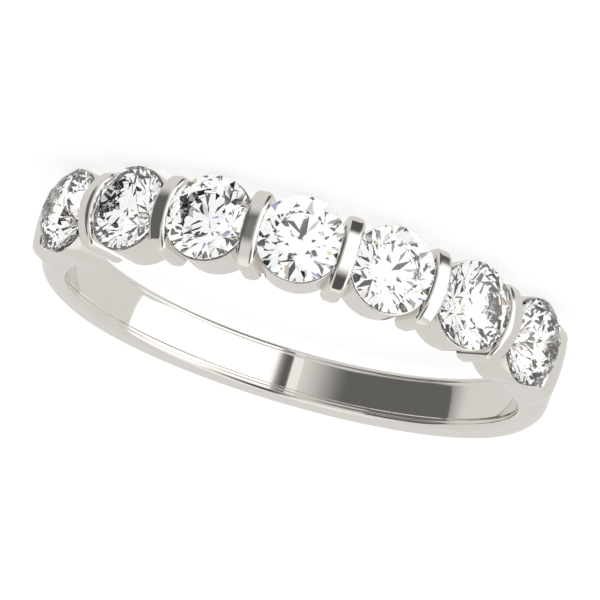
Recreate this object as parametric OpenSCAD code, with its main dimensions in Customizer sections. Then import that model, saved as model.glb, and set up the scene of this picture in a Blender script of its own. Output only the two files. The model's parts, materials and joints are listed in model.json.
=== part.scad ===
// Bar set band: seven round brilliants held between upright bars in a tapering ring.
// The ring lies on its side. Z is the finger axis, the origin is the middle of the
// finger hole, and the middle stone faces -Y. Millimetres and degrees.

/* [Finger hole] */
// Diameter of the finger hole
finger_d = 17.3; // [16.9:0.1:18.1]

/* [Stones] */
// Diameter of each stone across its girdle
stone_d = 3.2; // [3.1:0.05:3.25]
// Gap between the girdles of two neighbours
stone_gap = 0.31; // [0.28:0.01:0.36]
// Height of the girdles above the finger hole
girdle_lift = 1.72; // [1.68:0.01:1.8]
// Thickness of the girdle where it is thickest
girdle_t = 0.1; // [0.08:0.01:0.12]
// Width of the table as a share of the stone's diameter
table_share = 0.57; // [0.53:0.01:0.62]
// Slope of the main crown facets
crown_angle = 34.5; // [32:0.5:36]
// Slope of the main pavilion facets
pavilion_angle = 40.8; // [40:0.1:41.5]
// Reach of the star facets from the table towards the girdle
star_share = 0.5; // [0.4:0.05:0.6]
// Reach of the lower girdle facets from the girdle towards the culet
lower_share = 0.77; // [0.7:0.01:0.85]

/* [Bars] */
// Thickness of a bar, along the row of stones
bar_t = 0.74; // [0.68:0.02:0.8]
// Length of a bar, along the finger axis
bar_len = 2.96; // [2.8:0.02:3]
// Rise of the middle of a bar's arched top above the girdles
bar_rise = 0.44; // [0.4:0.01:0.48]
// Radius of that arch
bar_arch = 1.95; // [1.85:0.05:2.1]
// Radius of a bar's upright corners
bar_corner = 0.28; // [0.2:0.02:0.3]
// Radius of the rounding along the long edges of a bar's top
bar_edge = 0.2; // [0.12:0.02:0.24]

/* [Cups] */
// Diameter of the round wall below each stone
cup_d = 3.14; // [3.1:0.02:3.16]
// Distance of a cup's rim below the girdle plane
cup_drop = 0.16; // [0.14:0.01:0.2]
// Gap between a stone and its seat
seat_gap = 0.03; // [0.02:0.01:0.04]

/* [Shank] */
// Width of the shank at the back
back_w = 1.92; // [1.7:0.02:2.2]
// Width of the shank at its sides, and of the end walls
head_w = 2.5; // [2.4:0.02:2.7]
// Radius of the long curve of each flank, from the back to the side
flank_r = 210; // [150:10:300]
// Thickness of the shank at the back
back_t = 1.4; // [1.3:0.05:1.7]
// Thickness of the shank at its sides
side_t = 1.15; // [1.1:0.05:1.3]
// Radius of the rounded outside, across the shank
round_r = 1.55; // [1.5:0.05:2]
// Height of the end walls above the finger hole
wall_t = 1.88; // [1.8:0.02:1.95]
// Angle that the level top of an end wall spans
wall_span = 6; // [5:0.5:8]
// Angle over which an end wall then slopes down into the shank
slope_span = 20; // [16:1:24]

/* [Hidden] */

stone_count = 7;
metal = [0.80, 0.79, 0.77];
diamond = [0.93, 0.95, 0.98];

finger_r = finger_d / 2;
girdle_r = finger_r + girdle_lift;
stone_r = stone_d / 2;
// Angle from one stone to the next, about the finger axis
pitch = 2 * asin((stone_d + stone_gap) / (2 * girdle_r));
bar_top = girdle_r + bar_rise;
// Parts of the head start a little inside the hole, which is cut last
root_depth = 0.25;
root_r = finger_r - root_depth;

// The end walls stand where the next bars would be, at this angle from the middle stone
wall_angle = stone_count / 2 * pitch - asin(bar_t / 2 / girdle_r);
wall_reach = finger_r + wall_t;
// The slope behind a wall ends inside the shank, at this height above the finger hole
slope_foot = 0.4;
// Outside of the shank: a circle a little behind the hole's middle
outer_shift = back_t - side_t;
outer_r = finger_r + side_t;
// Middle of a flank's curve, through the inner edge at the back and at the sides
flank_start = [finger_r, back_w / 2];
flank_run = [-finger_r, (head_w - back_w) / 2];
flank_chord = norm(flank_run);
flank_middle = flank_start + flank_run / 2
    + [flank_run[1], -flank_run[0]] / flank_chord * sqrt(pow(flank_r, 2) - pow(flank_chord / 2, 2));

// Facet rings of one stone, as shares of its radius
facets = 8;
facet_turn = 360 / facets;
half_turn = facet_turn / 2;
girdle_points = 4 * facets;
half_girdle = girdle_t / 2 / stone_r;
// A seat's wall leans out this much more than the crown, so that the stone stands clear
seat_flare = 6;

// Segments of the round cuts: corners, cups and seats, sections, and the ring itself
corner_fn = 48;
cup_fn = 96;
section_fn = 128;
ring_fn = 180;
flank_fn = 1440;

table_z = half_girdle + (1 - table_share) * tan(crown_angle);
star_r = table_share * cos(half_turn) + star_share * (1 - table_share * cos(half_turn));
star_z = half_girdle + (1 - star_r * cos(half_turn)) * tan(crown_angle);
lower_r = 1 - lower_share;
lower_z = -half_girdle - (1 - lower_r * cos(half_turn)) * tan(pavilion_angle);
culet_z = -half_girdle - tan(pavilion_angle);
// Dip of the girdle's edges halfway along a facet
chord_r = cos(half_turn / 2);
upper_dip = (1 - chord_r) * (star_z - half_girdle) / (chord_r - star_r * cos(half_turn / 2));
lower_dip = (1 - chord_r) * (-half_girdle - lower_z) / (chord_r - lower_r * cos(half_turn / 2));

// A point of a facet ring, from its radius, angle and height in shares of the stone's radius
function ring_point(r, angle, z) = stone_r * [r * cos(angle), r * sin(angle), z];

// The girdle's edge dips at every second point
function girdle_edge(side, dip) = [for (i = [0 : girdle_points - 1])
    ring_point(1, i * 360 / girdle_points, side * (half_girdle - (i % 2) * dip))];

// The girdle's facets reach over 4 points for each main facet
function next_girdle(i, step) = (i + step) % girdle_points;
function next_facet(i) = (i + 1) % facets;

// Places a child whose Z points outwards and whose Y is the finger axis
module radial(angle) {
    rotate([0, 0, angle]) rotate([90, 0, 0]) children();
}

// Angle of a stone's middle or of a bar, by its place in the row
function row_angle(place) = ((stone_count + 1) / 2 - place) * pitch;

// A rectangle with round corners, centred
module round_rectangle(length, width, r) {
    square([length - 2 * r, width], center = true);
    square([length, width - 2 * r], center = true);
    for (x = [-1, 1], y = [-1, 1])
        translate([x * (length / 2 - r), y * (width / 2 - r)]) circle(r, $fn = corner_fn);
}

// Half the section of a disc as thick as a bar, with its rim's two edges rounded
module disc_section() {
    translate([0, -bar_t / 2]) square([bar_arch - bar_edge, bar_t]);
    translate([0, bar_edge - bar_t / 2]) square([bar_arch, bar_t - 2 * bar_edge]);
    for (y = [-1, 1])
        translate([bar_arch - bar_edge, y * (bar_t / 2 - bar_edge)]) circle(bar_edge, $fn = corner_fn);
}

// One bar: the disc stands across the ring, cut to the bar's length and round upright corners
module bar() {
    intersection() {
        linear_extrude(height = bar_top + 1) round_rectangle(bar_t, bar_len, bar_corner);
        translate([0, 0, bar_top - bar_arch]) rotate([0, 90, 0])
            rotate_extrude($fn = section_fn) disc_section();
    }
}

// The round wall below one stone
module cup() {
    translate([0, 0, root_r])
        cylinder(d = cup_d, h = girdle_r - cup_drop - root_r, $fn = cup_fn);
}

// The room that one stone takes in the metal, a little larger than the stone
module seat() {
    reach = stone_r + seat_gap;
    low = stone_r * culet_z - seat_gap;
    high = stone_r * table_z + bar_rise;
    edge = girdle_t / 2 + seat_gap;
    crown_run = (high - edge) / tan(crown_angle + seat_flare);
    translate([0, 0, girdle_r]) rotate_extrude($fn = cup_fn)
        polygon([[0, low], [reach, -edge], [reach, edge], [reach - crown_run, high], [0, high]]);
}

// Section of the shank's ring, solid to its axis, with a rounded outside
module ring_section() {
    intersection() {
        translate([0, -head_w / 2]) square([outer_r, head_w]);
        union() {
            translate([outer_r - round_r, 0]) circle(round_r, $fn = section_fn);
            translate([0, -head_w / 2]) square([outer_r - round_r, head_w]);
        }
    }
}

// A point at a radius and an angle from the middle stone, towards +X
function around(r, angle) = [r * sin(angle), -r * cos(angle)];

// The wall beside the first stone: a level top, then a slope that sinks into the shank
module end_wall() {
    level_end = wall_angle + wall_span;
    slope_end = level_end + slope_span;
    linear_extrude(height = head_w, center = true)
        polygon([around(root_r, wall_angle - wall_span), around(wall_reach, wall_angle - wall_span),
                 around(wall_reach, wall_angle), around(wall_reach, level_end),
                 around(finger_r + slope_foot, slope_end), around(root_r, slope_end)]);
}

// The open side of the ring, from one end wall over the row of stones to the other
module head_room() {
    far = 3 * finger_r;
    linear_extrude(height = far, center = true)
        polygon([[0, 0], far * [sin(wall_angle), -cos(wall_angle)], [far, -far],
                 [-far, -far], far * [-sin(wall_angle), -cos(wall_angle)]]);
}

// The shank with its two end walls, narrowed towards the back between long curved flanks
module shank() {
    difference() {
        union() {
            translate([0, outer_shift, 0]) rotate_extrude($fn = ring_fn) ring_section();
            end_wall();
            mirror([1, 0, 0]) end_wall();
        }
        head_room();
        for (side = [-1, 1])
            translate([0, flank_middle[0], side * flank_middle[1]]) rotate([0, 90, 0])
                cylinder(r = flank_r, h = 4 * finger_r, center = true, $fn = flank_fn);
    }
}

// The metal: shank, end walls, bars and cups in one piece, then the seats and the hole
module band() {
    color(metal) difference() {
        union() {
            shank();
            for (i = [1 : stone_count]) radial(row_angle(i)) cup();
            for (i = [1 : stone_count - 1]) radial(row_angle(i + 0.5)) bar();
        }
        for (i = [1 : stone_count]) radial(row_angle(i)) seat();
        cylinder(r = finger_r, h = 3 * bar_len, center = true, $fn = ring_fn);
    }
}

// A round brilliant, table up, with its girdle at the middle of its height
module brilliant() {
    table = [for (i = [0 : facets - 1]) ring_point(table_share, i * facet_turn, table_z)];
    star = [for (i = [0 : facets - 1]) ring_point(star_r, (i + 0.5) * facet_turn, star_z)];
    lower = [for (i = [0 : facets - 1]) ring_point(lower_r, (i + 0.5) * facet_turn, lower_z)];
    culet = [[0, 0, culet_z * stone_r]];
    t0 = 0;
    s0 = facets;
    u0 = 2 * facets;
    g0 = u0 + girdle_points;
    l0 = g0 + girdle_points;
    c0 = l0 + facets;
    table_face = [[for (i = [facets - 1 : -1 : 0]) t0 + i]];
    star_faces = [for (i = [0 : facets - 1]) [t0 + i, t0 + next_facet(i), s0 + i]];
    kites = [for (i = [0 : facets - 1])
        let (before = (i + facets - 1) % facets)
        each [[t0 + i, s0 + i, u0 + 4 * i], [t0 + i, u0 + 4 * i, s0 + before]]];
    upper_faces = [for (i = [0 : facets - 1], h = [0, 2]) let (g = 4 * i + h)
        each [[s0 + i, u0 + next_girdle(g, 1), u0 + g],
              [s0 + i, u0 + next_girdle(g, 2), u0 + next_girdle(g, 1)]]];
    girdle_faces = [for (i = [0 : girdle_points - 1]) let (j = next_girdle(i, 1))
        each [[u0 + i, u0 + j, g0 + j], [u0 + i, g0 + j, g0 + i]]];
    lower_faces = [for (i = [0 : facets - 1], h = [0, 2]) let (g = 4 * i + h)
        each [[l0 + i, g0 + g, g0 + next_girdle(g, 1)],
              [l0 + i, g0 + next_girdle(g, 1), g0 + next_girdle(g, 2)]]];
    mains = [for (i = [0 : facets - 1])
        let (before = (i + facets - 1) % facets)
        each [[c0, g0 + 4 * i, l0 + i], [c0, l0 + before, g0 + 4 * i]]];
    polyhedron(
        concat(table, star, girdle_edge(1, upper_dip), girdle_edge(-1, lower_dip), lower, culet),
        concat(table_face, star_faces, kites, upper_faces, girdle_faces, lower_faces, mains));
}

// One stone of the row, counted from the end at +X
module stone(place) {
    color(diamond) radial(row_angle(place)) translate([0, 0, girdle_r]) brilliant();
}

band();
stone(1);  // stone_1
stone(2);  // stone_2
stone(3);  // stone_3
stone(4);  // stone_4
stone(5);  // stone_5
stone(6);  // stone_6
stone(7);  // stone_7
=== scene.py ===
import json
from math import asin, cos, degrees, pi, radians, sin, sqrt, tan

import bmesh
import bpy
from mathutils import Matrix, Vector


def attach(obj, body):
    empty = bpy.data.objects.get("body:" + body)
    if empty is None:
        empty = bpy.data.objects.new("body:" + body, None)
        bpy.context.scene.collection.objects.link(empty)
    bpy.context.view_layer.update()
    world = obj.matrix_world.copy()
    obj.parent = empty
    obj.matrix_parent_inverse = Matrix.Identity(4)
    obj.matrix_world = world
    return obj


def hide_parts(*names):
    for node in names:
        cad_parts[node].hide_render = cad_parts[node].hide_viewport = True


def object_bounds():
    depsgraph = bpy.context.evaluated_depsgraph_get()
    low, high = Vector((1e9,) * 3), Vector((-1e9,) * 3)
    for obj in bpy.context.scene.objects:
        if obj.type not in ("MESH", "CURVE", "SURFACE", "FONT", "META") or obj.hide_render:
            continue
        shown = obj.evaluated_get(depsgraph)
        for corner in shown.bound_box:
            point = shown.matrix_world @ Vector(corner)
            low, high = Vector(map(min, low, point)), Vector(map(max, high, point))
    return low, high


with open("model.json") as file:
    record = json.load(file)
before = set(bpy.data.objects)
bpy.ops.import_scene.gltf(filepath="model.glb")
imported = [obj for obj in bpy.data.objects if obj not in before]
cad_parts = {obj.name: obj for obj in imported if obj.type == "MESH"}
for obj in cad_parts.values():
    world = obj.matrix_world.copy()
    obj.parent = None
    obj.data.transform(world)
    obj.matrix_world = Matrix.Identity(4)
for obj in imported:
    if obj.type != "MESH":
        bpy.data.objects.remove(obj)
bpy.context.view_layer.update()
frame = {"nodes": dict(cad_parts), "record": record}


# The shank is cast in white gold and rolls round the finger: flat inside, with a fine line turned
# along each rim, and rounded outside. It widens and thins from the back to its two ends, which
# rise as walls beside the first and last stone.
mm = 0.001
finger_r = frame["record"]["mounts"][0]["dims"]["r_mm"] * mm
stone_count = 7
girdle_r = finger_r + 1.72 * mm
pitch = 2 * asin(3.51 * mm / (2 * girdle_r))
bar_t = 0.74 * mm
wall_angle = degrees(stone_count / 2 * pitch - asin(bar_t / 2 / girdle_r))
rim_curve = 210.3 * mm
rim_least = 0.711 * mm
rim_middle = 12 * mm
rim_roll = ((67, 0.02), (95, 0.24), (140, 0.233))
thickness_by_angle = ((70, 1.88), (83, 1.1), (105, 1.11), (145, 1.4), (180, 1.36))
corner_by_angle = ((72, 0.26), (85, 0.7), (130, 0.28))
inner_crown = 0.02 * mm
rim_line = 0.02 * mm
dome_r = 6.6 * mm
wall_edge = 0.14 * mm


def eased(angle, *knots):
    """The value at an angle between (angle, value) knots, each step starting and ending gently."""
    if angle <= knots[0][0]:
        return knots[0][1]
    for (low, low_value), (high, high_value) in zip(knots, knots[1:]):
        if angle <= high:
            share = (angle - low) / (high - low)
            return low_value + (high_value - low_value) * share * share * (3 - 2 * share)
    return knots[-1][1]


def between(low, high, share):
    return low + (high - low) * share


def shank_section(angle):
    """Points (radius, width) of half the section, from the inside's middle to the outside's."""
    rim = rim_least + (finger_r * cos(radians(angle)) + rim_middle) ** 2 / (2 * rim_curve)
    roll = eased(angle, *rim_roll) * mm
    thickness = eased(angle, *thickness_by_angle) * mm
    corner = eased(angle, *corner_by_angle) * mm
    inner = finger_r + inner_crown
    line = min(rim_line, roll / 4)
    points = [(finger_r + inner_crown * (i / 6) ** 2, (rim - line) * i / 6) for i in range(7)]
    points.append((inner + line * 0.8, rim))
    for i in range(7):
        turn = pi / 2 * i / 6
        depth = inner + line * 0.2 + (roll - line) * (1 - cos(turn))
        points.append((depth, rim + line + (roll - line) * sin(turn)))
    flank = points[-1][1]
    outer = finger_r + thickness
    bend = asin((flank - corner) / (dome_r - corner))
    corner_middle = outer - dome_r + (dome_r - corner) * cos(bend)
    low = points[-1][0]
    for i in range(1, 5):
        points.append((between(low, corner_middle, i / 4), flank))
    for i in range(1, 11):
        turn = between(pi / 2, bend, i / 10)
        points.append((corner_middle + corner * cos(turn), flank - corner + corner * sin(turn)))
    for i in range(1, 7):
        turn = bend * (1 - i / 6)
        points.append((outer - dome_r + dome_r * cos(turn), dome_r * sin(turn)))
    return points


def inset(section, depth):
    """The section drawn in by a depth on every side, for the rounded edge of an end wall."""
    low, high = section[0][0], section[-1][0]
    width = max(w for r, w in section)
    return [(between(low + depth, high - depth, (r - low) / (high - low)), w * (width - depth) / width)
            for r, w in section]


def mesh_object(name, points, faces):
    mesh = bpy.data.meshes.new(name)
    mesh.from_pydata([tuple(p) for p in points], [], faces)
    body = bmesh.new()
    body.from_mesh(mesh)
    bmesh.ops.remove_doubles(body, verts=body.verts, dist=1e-8)
    bmesh.ops.recalc_face_normals(body, faces=body.faces)
    body.to_mesh(mesh)
    body.free()
    mesh.shade_smooth()
    piece = bpy.data.objects.new(name, mesh)
    bpy.context.scene.collection.objects.link(piece)
    return piece


edge_steps = 4
ring_steps = 240
stations = []
for i in range(edge_steps):
    turn = pi / 2 * i / edge_steps
    past_end = degrees(wall_edge * (1 - cos(turn)) / girdle_r)
    stations.append((wall_angle + past_end, wall_edge * (1 - sin(turn))))
first_whole = wall_angle + degrees(wall_edge / girdle_r)
middle = [(between(first_whole, 360 - first_whole, i / ring_steps), 0) for i in range(ring_steps + 1)]
stations += middle + [(360 - angle, depth) for angle, depth in reversed(stations)]
points, faces = [], []
for angle, depth in stations:
    half = inset(shank_section(min(angle, 360 - angle)), depth)
    section = half + [(r, -w) for r, w in reversed(half[1:-1])]
    for r, w in section:
        points.append((r * sin(radians(angle)), -r * cos(radians(angle)), w))
size = len(section)
for step in range(len(stations) - 1):
    for i in range(size):
        a, b = step * size + i, step * size + (i + 1) % size
        faces.append((a, b, b + size, a + size))
faces.append(tuple(range(size)))
faces.append(tuple(range(len(points) - size, len(points))))
shank = mesh_object("shank", points, faces)


def polished_metal():
    """White gold with a mirror polish: a warm light grey with the faint haze of buffing."""
    metal = bpy.data.materials.new("polished_white_gold")
    metal.use_nodes = True
    nodes, links = metal.node_tree.nodes, metal.node_tree.links
    shader = nodes["Principled BSDF"]
    shader.inputs["Metallic"].default_value = 1
    place = nodes.new("ShaderNodeTexCoord")
    haze = nodes.new("ShaderNodeTexNoise")
    haze.inputs["Scale"].default_value = 900
    haze.inputs["Detail"].default_value = 3
    tone = nodes.new("ShaderNodeMix")
    tone.data_type = "RGBA"
    tone.inputs["A"].default_value = (0.80, 0.785, 0.755, 1)
    tone.inputs["B"].default_value = (0.84, 0.825, 0.80, 1)
    rough = nodes.new("ShaderNodeMapRange")
    rough.inputs["To Min"].default_value = 0.03
    rough.inputs["To Max"].default_value = 0.06
    links.new(place.outputs["Object"], haze.inputs["Vector"])
    links.new(haze.outputs["Fac"], tone.inputs["Factor"])
    links.new(haze.outputs["Fac"], rough.inputs["Value"])
    links.new(tone.outputs["Result"], shader.inputs["Base Color"])
    links.new(rough.outputs["Result"], shader.inputs["Roughness"])
    return metal


white_gold = polished_metal()
shank.data.materials.append(white_gold)


# Each bar is a small upright of white gold, soldered between two stones. Its top is arched along
# the finger axis and rounded along its edges, and a groove on each side takes a stone's girdle.
bar_len = 2.96 * mm
bar_top = girdle_r + 0.44 * mm
bar_arch = 1.95 * mm
bar_corner = 0.28 * mm
bar_edge = 0.2 * mm
bar_end_edge = 0.12 * mm
stone_r = 1.6 * mm
seat_gap = 0.03 * mm
girdle_half = 0.05 * mm


def upright(t, w, r):
    """A point of the row's middle piece: t along the row, w along the finger axis, r outwards."""
    return Vector((t, -r, w))


def rounded(half, radius, across):
    """How far a corner of this radius leaves of half a length, at a place across it."""
    over = max(0, abs(across) - (half - radius))
    return radius - sqrt(max(0, radius ** 2 - over ** 2))


def bar_mesh():
    """One bar: an arched top as a grid of columns and rows, and walls down to the finger hole."""
    edge_columns, flat_rows, end_rows = 15, 32, 6
    columns = []
    for i in range(edge_columns):
        turn = pi / 2 * i / (edge_columns - 1)
        columns.append(-(bar_t / 2 - bar_edge) - bar_edge * cos(turn))
    columns += [between(columns[-1], -columns[-1], i / 4) for i in range(1, 4)]
    columns += [-t for t in reversed(columns[:edge_columns])]
    rows = [(between(-1, 1, i / flat_rows), 0) for i in range(flat_rows + 1)]
    ends = [(sin(pi / 2 * i / end_rows), 1 - cos(pi / 2 * i / end_rows)) for i in range(1, end_rows + 1)]
    points, faces = [], []
    for t in columns:
        reach = bar_len / 2 - rounded(bar_t / 2, bar_corner, t)
        arch = bar_arch - rounded(bar_t / 2, bar_edge, t)
        places = [(-reach + bar_end_edge * (1 - out), drop) for out, drop in reversed(ends)]
        places += [((reach - bar_end_edge) * share, 0) for share, drop in rows]
        places += [(reach - bar_end_edge * (1 - out), drop) for out, drop in ends]
        for w, drop in places:
            top = bar_top - bar_arch + sqrt(arch ** 2 - w ** 2)
            points.append(upright(t, w, top - bar_end_edge * drop))
    n = len(places)
    for i in range(len(columns) - 1):
        for k in range(n - 1):
            a = i * n + k
            faces.append((a, a + 1, a + n + 1, a + n))
    last = (len(columns) - 1) * n
    border = list(range(n)) + [i * n + n - 1 for i in range(1, len(columns))]
    border += [last + k for k in range(n - 2, -1, -1)] + [i * n for i in range(len(columns) - 2, 0, -1)]
    foot = len(points)
    for index in border:
        t, w = points[index].x, points[index].z
        points.append(upright(t, w, sqrt(finger_r ** 2 - t * t)))
    count = len(border)
    for i in range(count):
        j = (i + 1) % count
        faces.append((border[i], border[j], foot + j, foot + i))
    faces.append(tuple(range(foot, foot + count)))
    return mesh_object("bar", points, faces)


def turned(name, profile, steps):
    """A body turned about the stone's axis, from (radius, height) points, closed at both ends."""
    points, faces = [], []
    for i in range(steps):
        turn = 2 * pi * i / steps
        for r, z in profile:
            points.append(upright(r * cos(turn), r * sin(turn), z))
    n = len(profile)
    for i in range(steps):
        for k in range(n - 1):
            a, b = i * n + k, (i + 1) % steps * n + k
            faces.append((a, b, b + 1, a + 1))
    return mesh_object(name, points, faces)


lip_slope, pavilion_slope = radians(40.5), radians(40.8)
seat_steps = 96
seat_reach = stone_r + seat_gap
seat_edge = girdle_half + seat_gap
seat_low = girdle_r - girdle_half - stone_r * tan(pavilion_slope) - seat_gap
seat_high = girdle_r + 1.2 * mm
seat_top_r = seat_reach - (seat_high - girdle_r - seat_edge) / tan(lip_slope)
seat = turned("seat", [(0, seat_low), (seat_reach, girdle_r - seat_edge),
                       (seat_reach, girdle_r + seat_edge), (seat_top_r, seat_high),
                       (0, seat_high)], seat_steps)
bar = bar_mesh()


def cut(piece, tool, turn):
    """Takes the tool, turned about the finger axis, out of the piece."""
    tool.matrix_world = Matrix.Rotation(turn, 4, "Z")
    step = piece.modifiers.new("groove", "BOOLEAN")
    step.object = tool
    step.solver = "EXACT"
    keep(piece)


def keep(piece):
    """Makes what the modifiers show the piece's own mesh."""
    bpy.context.view_layer.update()
    shown = piece.evaluated_get(bpy.context.evaluated_depsgraph_get())
    made = bpy.data.meshes.new_from_object(shown)
    piece.modifiers.clear()
    piece.data = made


for side in (-1, 1):
    cut(bar, seat, side * pitch / 2)
    cut(shank, seat, side * (stone_count - 1) / 2 * pitch)


def crisp(piece):
    """Keeps flat faces flat beside their rounded edges."""
    piece.data.set_sharp_from_angle(angle=radians(40))
    step = piece.modifiers.new("flat faces", "WEIGHTED_NORMAL")
    step.keep_sharp = True
    keep(piece)


crisp(bar)


def row_tree():
    """Geometry nodes that set a piece round the finger hole, a pitch apart."""
    tree = bpy.data.node_groups.new("row round the finger", "GeometryNodeTree")
    tree.interface.new_socket("Geometry", in_out="INPUT", socket_type="NodeSocketGeometry")
    for name, kind in (("Count", "Int"), ("Pitch", "Float"), ("Metal", "Material")):
        tree.interface.new_socket(name, in_out="INPUT", socket_type="NodeSocket" + kind)
    tree.interface.new_socket("Geometry", in_out="OUTPUT", socket_type="NodeSocketGeometry")
    nodes, links = tree.nodes, tree.links
    given = nodes.new("NodeGroupInput")
    places = nodes.new("GeometryNodeMeshLine")
    places.inputs["Offset"].default_value = (0, 0, 0)
    index = nodes.new("GeometryNodeInputIndex")
    last = nodes.new("ShaderNodeMath")
    last.operation = "SUBTRACT"
    last.inputs[1].default_value = 1
    middle = nodes.new("ShaderNodeMath")
    middle.operation = "DIVIDE"
    middle.inputs[1].default_value = 2
    place = nodes.new("ShaderNodeMath")
    place.operation = "SUBTRACT"
    turn = nodes.new("ShaderNodeMath")
    turn.operation = "MULTIPLY"
    about_z = nodes.new("ShaderNodeCombineXYZ")
    put = nodes.new("GeometryNodeInstanceOnPoints")
    real = nodes.new("GeometryNodeRealizeInstances")
    finish = nodes.new("GeometryNodeSetMaterial")
    result = nodes.new("NodeGroupOutput")
    links.new(given.outputs["Count"], places.inputs["Count"])
    links.new(given.outputs["Count"], last.inputs[0])
    links.new(last.outputs[0], middle.inputs[0])
    links.new(index.outputs[0], place.inputs[0])
    links.new(middle.outputs[0], place.inputs[1])
    links.new(place.outputs[0], turn.inputs[0])
    links.new(given.outputs["Pitch"], turn.inputs[1])
    links.new(turn.outputs[0], about_z.inputs["Z"])
    links.new(places.outputs["Mesh"], put.inputs["Points"])
    links.new(given.outputs["Geometry"], put.inputs["Instance"])
    links.new(about_z.outputs["Vector"], put.inputs["Rotation"])
    links.new(put.outputs["Instances"], real.inputs["Geometry"])
    links.new(real.outputs["Geometry"], finish.inputs["Geometry"])
    links.new(given.outputs["Metal"], finish.inputs["Material"])
    links.new(finish.outputs["Geometry"], result.inputs["Geometry"])
    return tree


head_row = row_tree()


def set_in_row(piece, count, metal):
    step = piece.modifiers.new("row", "NODES")
    step.node_group = head_row
    sockets = {item.name: item.identifier for item in head_row.interface.items_tree
               if item.in_out == "INPUT"}
    step[sockets["Count"]] = count
    step[sockets["Pitch"]] = pitch
    step[sockets["Metal"]] = metal
    keep(piece)


set_in_row(bar, stone_count - 1, white_gold)
bar.name = "bars"


# A cup is the round wall of white gold under each stone. Its rim lies just below the girdle,
# and the stone's pavilion rests in the cone turned inside it.
cup_r = 1.57 * mm
lip_r = 1.64 * mm
rim_height = girdle_r - 0.16 * mm
rim_edge = 0.03 * mm
cone_slope = (girdle_r - seat_edge - seat_low) / seat_reach
rim_inner = (rim_height - seat_low) / cone_slope
foot_lift = 0.002 * mm
cup_steps = 128
points, faces = [], []
for i in range(cup_steps):
    turn = 2 * pi * i / cup_steps
    c, s = cos(turn), sin(turn)
    profile = []
    for share in (0.3, 0.7, 1):
        reach = share * cup_r
        profile.append((reach, sqrt(finger_r ** 2 - (reach * c) ** 2) + foot_lift))
    foot = profile[-1][1]
    for k in range(1, 5):
        height = between(foot, rim_height - rim_edge, k / 4)
        profile.append((between(cup_r, lip_r, k / 4), height))
    for k in range(1, 4):
        lean = pi / 2 * k / 3
        profile.append((lip_r - rim_edge * (1 - cos(lean)), rim_height - rim_edge * (1 - sin(lean))))
    profile.append((rim_inner, rim_height))
    profile.append((rim_inner * 0.5, between(seat_low, rim_height, 0.5)))
    for r, z in profile:
        points.append(upright(r * c, r * s, z))
n = len(profile)
for i in range(cup_steps):
    j = (i + 1) % cup_steps
    for k in range(n - 1):
        faces.append((i * n + k, j * n + k, j * n + k + 1, i * n + k + 1))
    faces.append((len(points), i * n, j * n))
    faces.append((i * n + n - 1, j * n + n - 1, len(points) + 1))
points.append(upright(0, 0, finger_r + foot_lift))
points.append(upright(0, 0, seat_low))
cup = mesh_object("cup", points, faces)
crisp(cup)
set_in_row(cup, stone_count, white_gold)
cup.name = "cups"
bpy.data.objects.remove(seat)

crisp(shank)
for piece in (shank, bar, cup):
    piece.data.materials.clear()
    piece.data.materials.append(white_gold)
    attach(piece, "root")
    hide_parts("band")


# The stones are round brilliants of diamond, cut and polished to flat facets. Light that meets a
# facet from inside at more than about 24 degrees is thrown back, which gives the bright pattern.
diamond_ior = 2.42


def cut_diamond():
    """Clear diamond: a mirror and a refracting face, mixed by how the light meets the facet."""
    diamond = bpy.data.materials.new("diamond")
    diamond.use_nodes = True
    nodes, links = diamond.node_tree.nodes, diamond.node_tree.links
    nodes.remove(nodes["Principled BSDF"])
    surface = nodes["Material Output"]
    share = nodes.new("ShaderNodeFresnel")
    share.inputs["IOR"].default_value = diamond_ior
    side = nodes.new("ShaderNodeNewGeometry")
    whole = nodes.new("ShaderNodeMath")
    whole.operation = "GREATER_THAN"
    whole.inputs[1].default_value = 0.98
    factor = nodes.new("ShaderNodeMix")
    through = nodes.new("ShaderNodeBsdfRefraction")
    through.inputs["IOR"].default_value = diamond_ior
    through.inputs["Roughness"].default_value = 0
    mirror = nodes.new("ShaderNodeBsdfGlossy")
    mirror.inputs["Roughness"].default_value = 0
    both = nodes.new("ShaderNodeMixShader")
    links.new(share.outputs[0], whole.inputs[0])
    links.new(side.outputs["Backfacing"], factor.inputs["Factor"])
    links.new(share.outputs[0], factor.inputs["A"])
    links.new(whole.outputs[0], factor.inputs["B"])
    links.new(factor.outputs["Result"], both.inputs["Fac"])
    links.new(through.outputs[0], both.inputs[1])
    links.new(mirror.outputs[0], both.inputs[2])
    links.new(both.outputs[0], surface.inputs["Surface"])
    return diamond


diamond = cut_diamond()
for name, node in frame["nodes"].items():
    if name.startswith("stone"):
        node.data.materials.clear()
        node.data.materials.append(diamond)


# The ring lies on a plain white table top, lit by a bright studio: a pale room, a large white
# softbox and a dark card, whose edges show in the polished metal.
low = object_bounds()[0]
half_side = 1
floor_corners = [(-half_side, -half_side, low.z), (half_side, -half_side, low.z),
                 (half_side, half_side, low.z), (-half_side, half_side, low.z)]
floor = mesh_object("floor", floor_corners, [(0, 1, 2, 3)])
table_top = bpy.data.materials.new("white_table_top")
table_top.use_nodes = True
surface = table_top.node_tree.nodes["Principled BSDF"]
surface.inputs["Base Color"].default_value = (0.3, 0.3, 0.3, 1)
surface.inputs["Roughness"].default_value = 0.8
surface.inputs["Emission Color"].default_value = (1, 1, 1, 1)
surface.inputs["Emission Strength"].default_value = 0.8
floor.data.materials.append(table_top)
floor.visible_glossy = False
floor.visible_transmission = False


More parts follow.
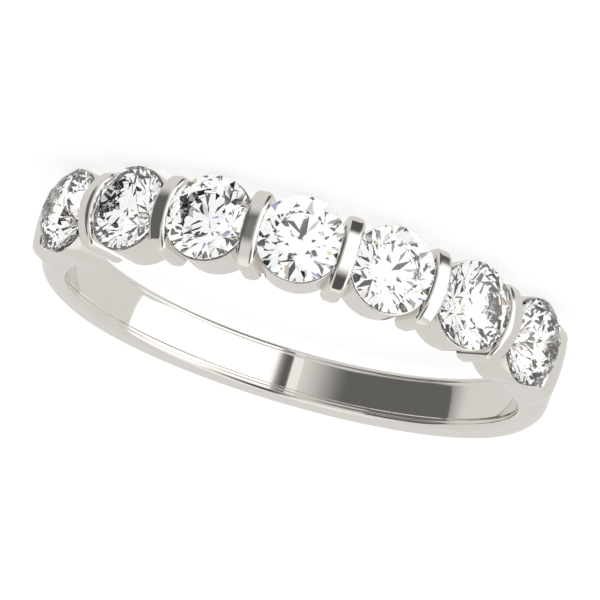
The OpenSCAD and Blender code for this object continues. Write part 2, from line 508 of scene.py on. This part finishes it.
def panel_group():
    """One panel of light or shade in the room, laid over what is behind it. Angles in degrees."""
    tree = bpy.data.node_groups.new("studio panel", "ShaderNodeTree")
    for name, kind in (("Behind", "Color"), ("Panel", "Color"), ("Way", "Vector"), ("Azimuth", "Float"),
                       ("Elevation", "Float"), ("Half width", "Float"), ("Half height", "Float"),
                       ("Corner", "Float"), ("Softness", "Float")):
        tree.interface.new_socket(name, in_out="INPUT", socket_type="NodeSocket" + kind)
    tree.interface.new_socket("Light", in_out="OUTPUT", socket_type="NodeSocketColor")
    nodes, links = tree.nodes, tree.links
    given = nodes.new("NodeGroupInput").outputs
    result = nodes.new("NodeGroupOutput")

    def maths(operation, *values):
        step = nodes.new("ShaderNodeMath")
        step.operation = operation
        for socket, value in zip(step.inputs, values):
            if isinstance(value, (int, float)):
                socket.default_value = value
            else:
                links.new(value, socket)
        return step.outputs[0]

    split = nodes.new("ShaderNodeSeparateXYZ")
    links.new(given["Way"], split.inputs[0])
    x, y, z = split.outputs
    bearing = maths("ARCTAN2", maths("MULTIPLY", x, -1), maths("MULTIPLY", y, -1))
    azimuth = maths("MULTIPLY", bearing, degrees(1))
    elevation = maths("MULTIPLY", maths("ARCSINE", z), degrees(1))
    away = maths("SUBTRACT", azimuth, given["Azimuth"])
    across = maths("ABSOLUTE", maths("WRAP", away, 180, -180))
    up = maths("ABSOLUTE", maths("SUBTRACT", elevation, given["Elevation"]))
    beyond_x = maths("SUBTRACT", across, maths("SUBTRACT", given["Half width"], given["Corner"]))
    beyond_y = maths("SUBTRACT", up, maths("SUBTRACT", given["Half height"], given["Corner"]))
    outside_x = maths("MAXIMUM", beyond_x, 0)
    outside_y = maths("MAXIMUM", beyond_y, 0)
    outside = maths("SQRT", maths("ADD", maths("MULTIPLY", outside_x, outside_x),
                                  maths("MULTIPLY", outside_y, outside_y)))
    inside = maths("MINIMUM", maths("MAXIMUM", beyond_x, beyond_y), 0)
    distance = maths("SUBTRACT", maths("ADD", outside, inside), given["Corner"])
    cover = nodes.new("ShaderNodeMapRange")
    cover.interpolation_type = "SMOOTHSTEP"
    cover.inputs["To Min"].default_value = 1
    cover.inputs["To Max"].default_value = 0
    links.new(distance, cover.inputs["Value"])
    links.new(maths("MULTIPLY", given["Softness"], -0.5), cover.inputs["From Min"])
    links.new(maths("MULTIPLY", given["Softness"], 0.5), cover.inputs["From Max"])
    laid = nodes.new("ShaderNodeMix")
    laid.data_type = "RGBA"
    links.new(cover.outputs[0], laid.inputs["Factor"])
    links.new(given["Behind"], laid.inputs["A"])
    links.new(given["Panel"], laid.inputs["B"])
    links.new(laid.outputs["Result"], result.inputs["Light"])
    return tree


def lit_by(panels, grey, panel, nodes, links, way):
    """Panels laid one after another over an even grey, each a colour and the group's values."""
    room = nodes.new("ShaderNodeRGB")
    room.outputs[0].default_value = (*grey, 1)
    light = room.outputs[0]
    names = ("Azimuth", "Elevation", "Half width", "Half height", "Corner", "Softness")
    for colour, *values in panels:
        laid = nodes.new("ShaderNodeGroup")
        laid.node_tree = panel
        laid.inputs["Panel"].default_value = (*colour, 1)
        for name, value in zip(names, values):
            laid.inputs[name].default_value = value
        links.new(way, laid.inputs["Way"])
        links.new(light, laid.inputs["Behind"])
        light = laid.outputs["Light"]
    return light


def warm(brightness):
    return (brightness, brightness * 0.985, brightness * 0.96)


def studio_light():
    """A pale room with softboxes and dark cards, and small cards for light through the stones."""
    room = bpy.data.worlds.new("studio")
    bpy.context.scene.world = room
    room.use_nodes = True
    nodes, links = room.node_tree.nodes, room.node_tree.links
    way = nodes.new("ShaderNodeTexCoord").outputs["Generated"]
    panel = panel_group()
    ceiling = (warm(1.0), 0, 90, 180, 30, 5, 14)
    softbox = (warm(1.35), 49.5, 16, 41.5, 37, 8, 1.5)
    low_softbox = (warm(1.35), 45, -40, 38, 36, 8, 3)
    dark_near_end = (warm(0.1), 20, 60, 24, 28, 10, 30)
    dark_far_end = (warm(0.1), 65, -78, 60, 20, 4, 16)
    dark_edge = (warm(0.12), 2.4, -10, 4.4, 30, 2, 8)
    light_strip = (warm(1.0), -2.2, -10, 2.7, 30, 1, 0.6)
    dark_card = (warm(0.14), -67.5, 10.5, 22.5, 31.5, 8, 1.5)
    dark_foot = (warm(0.14), -66, -12, 26, 30, 8, 22)
    dark_fade = (warm(0.14), -41, -8, 24.5, 30, 8, 27)
    room_grey = (0.775, 0.757, 0.735)
    for_metal = lit_by((ceiling, softbox, low_softbox, dark_near_end, dark_far_end, dark_edge,
                        light_strip, dark_card, dark_foot, dark_fade),
                       room_grey, panel, nodes, links, way)
    viewer = (warm(0.1), 4.2, 14.7, 14, 14, 10, 3)
    right_flag = (warm(0.3), -78, 4, 6, 30, 4, 2)
    left_flag = (warm(0.2), 92, 14, 11, 30, 4, 2)
    low_flag = (warm(0.15), -28, -40, 22, 9, 4, 2)
    high_flag = (warm(0.2), 40, 52, 24, 8, 4, 2)
    grey_behind = (warm(0.5), 170, 8, 34, 20, 6, 3)
    blue_glint = ((0.5, 0.52, 1.0), -48, 30, 9, 10, 2, 2)
    orange_glint = ((1.1, 0.7, 0.45), 62, -24, 7, 10, 2, 2)
    green_glint = ((1.0, 1.1, 0.6), 28, -30, 6, 7, 2, 2)
    bright_white = (1.7, 1.7, 1.7)
    for_stones = lit_by((viewer, right_flag, left_flag, low_flag, high_flag, grey_behind,
                         blue_glint, orange_glint, green_glint),
                        bright_white, panel, nodes, links, way)
    path = nodes.new("ShaderNodeLightPath")
    either = nodes.new("ShaderNodeMix")
    either.data_type = "RGBA"
    links.new(path.outputs["Is Transmission Ray"], either.inputs["Factor"])
    links.new(for_metal, either.inputs["A"])
    links.new(for_stones, either.inputs["B"])
    links.new(either.outputs["Result"], nodes["Background"].inputs["Color"])


studio_light()


# The camera looks down at the middle stone at a low angle, from about 30 cm away. It is rolled
# so that the row of stones runs across the picture as it does in the photograph.
elevation, azimuth, roll = radians(14.69), radians(4.22), radians(16.89)
camera_distance = 303 * mm
picture_side = 600
pixels_per_mm = 27.075
centre_u, centre_v = 299.59, 315.12
sensor_width = 36
toward = Vector((-sin(azimuth) * cos(elevation), -cos(azimuth) * cos(elevation), sin(elevation)))
down = (Vector((0, 0, 1)) - toward * toward.z).normalized()
right = toward.cross(down)
picture_right = right * cos(roll) - down * sin(roll)
picture_up = -(right * sin(roll) + down * cos(roll))
turned_to = Matrix((picture_right, picture_up, toward)).transposed().to_4x4()
lens = bpy.data.cameras.new("camera")
lens.sensor_width = sensor_width
lens.lens = pixels_per_mm * camera_distance / mm / picture_side * sensor_width
lens.shift_x = (picture_side / 2 - centre_u) / picture_side
lens.shift_y = (centre_v - picture_side / 2) / picture_side
camera = bpy.data.objects.new("camera", lens)
camera.matrix_world = Matrix.Translation(toward * camera_distance) @ turned_to
bpy.context.scene.collection.objects.link(camera)
bpy.context.scene.camera = camera
scene = bpy.context.scene
scene.view_settings.view_transform = "Standard"
scene.cycles.max_bounces = 24
scene.cycles.glossy_bounces = 16
scene.cycles.transmission_bounces = 16
